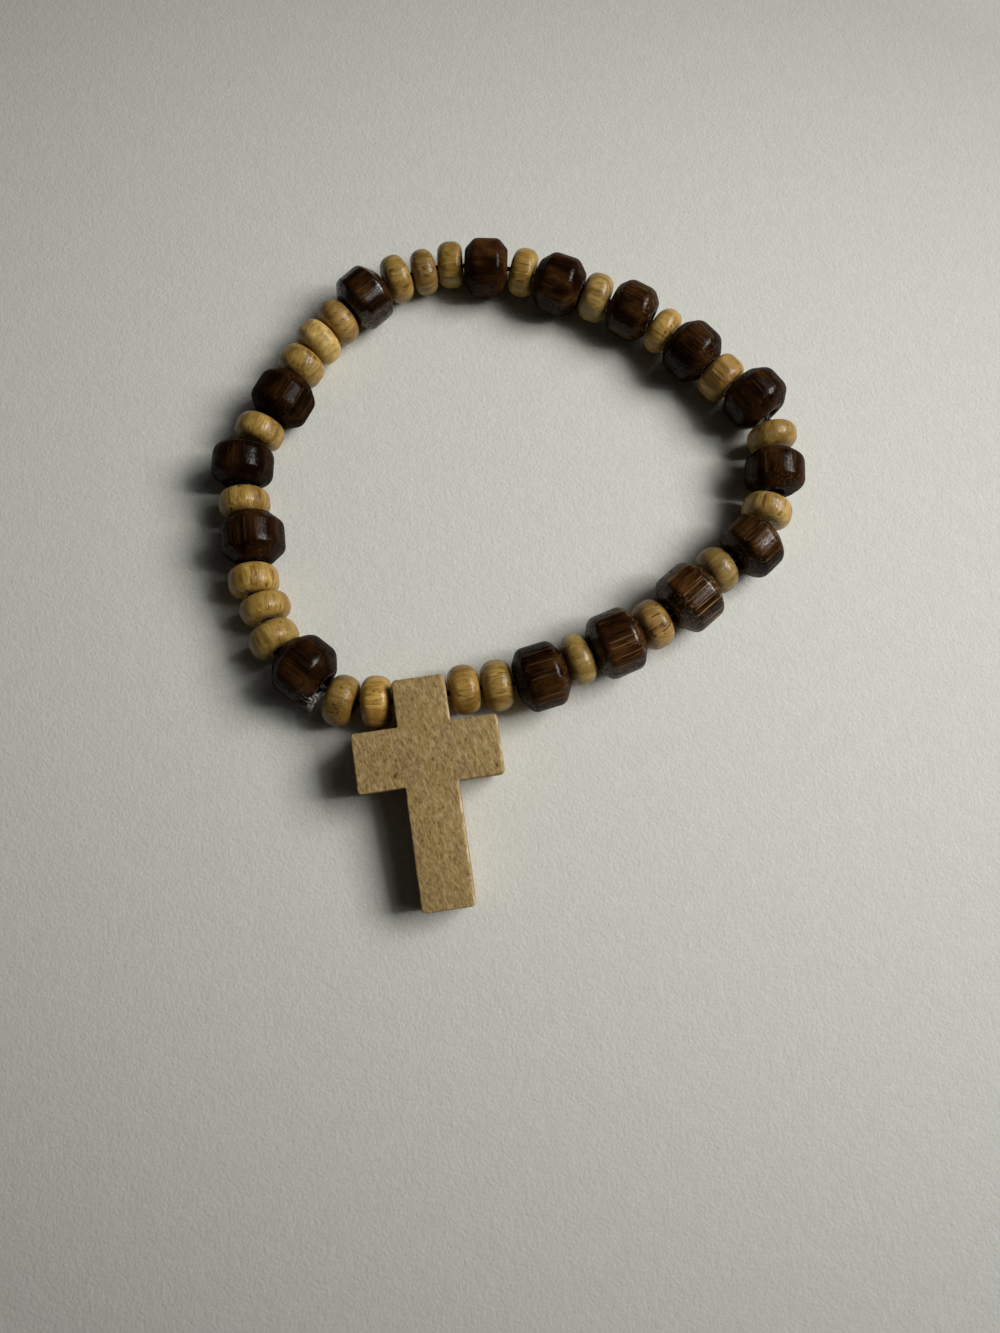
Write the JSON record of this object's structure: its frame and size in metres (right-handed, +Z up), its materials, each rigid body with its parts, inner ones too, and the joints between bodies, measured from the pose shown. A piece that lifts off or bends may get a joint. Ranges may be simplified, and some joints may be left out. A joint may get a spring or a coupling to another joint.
{
  "type": "bead bracelet with cross pendant",
  "caption": "Stretch bracelet of turned wooden beads on a knotted elastic cord, with a small plain wooden cross, lying in a closed loop on a flat surface.",
  "frame": {"origin": "under the middle of the whole bracelet, on the surface that it lies on", "axes": "+Z up from the surface, -Y the way the foot of the cross points, +X to the right of the cross seen from above"},
  "size_m": [0.074, 0.0852, 0.0082],
  "materials": {
    "dark_wood": "lacquered",
    "light_wood": "waxed",
    "cross_wood": "satin",
    "elastic": "satin"
  },
  "bodies": {
    "root": {"dark_bead_01": "dark_wood", "dark_bead_02": "dark_wood", "dark_bead_03": "dark_wood", "dark_bead_04": "dark_wood", "dark_bead_05": "dark_wood", "dark_bead_06": "dark_wood", "dark_bead_07": "dark_wood", "dark_bead_08": "dark_wood", "dark_bead_09": "dark_wood", "dark_bead_10": "dark_wood", "dark_bead_11": "dark_wood", "dark_bead_12": "dark_wood", "dark_bead_13": "dark_wood", "dark_bead_14": "dark_wood", "dark_bead_15": "dark_wood", "light_bead_01": "light_wood", "light_bead_02": "light_wood", "light_bead_03": "light_wood", "light_bead_04": "light_wood", "light_bead_05": "light_wood", "light_bead_06": "light_wood", "light_bead_07": "light_wood", "light_bead_08": "light_wood", "light_bead_09": "light_wood", "light_bead_10": "light_wood", "light_bead_11": "light_wood", "light_bead_12": "light_wood", "light_bead_13": "light_wood", "light_bead_14": "light_wood", "light_bead_15": "light_wood", "light_bead_16": "light_wood", "light_bead_17": "light_wood", "light_bead_18": "light_wood", "light_bead_19": "light_wood", "light_bead_20": "light_wood", "light_bead_21": "light_wood", "light_bead_22": "light_wood", "light_bead_23": "light_wood", "light_bead_24": "light_wood", "wooden_cross": "cross_wood", "elastic_cord": "elastic"}
  },
  "joints": []
}
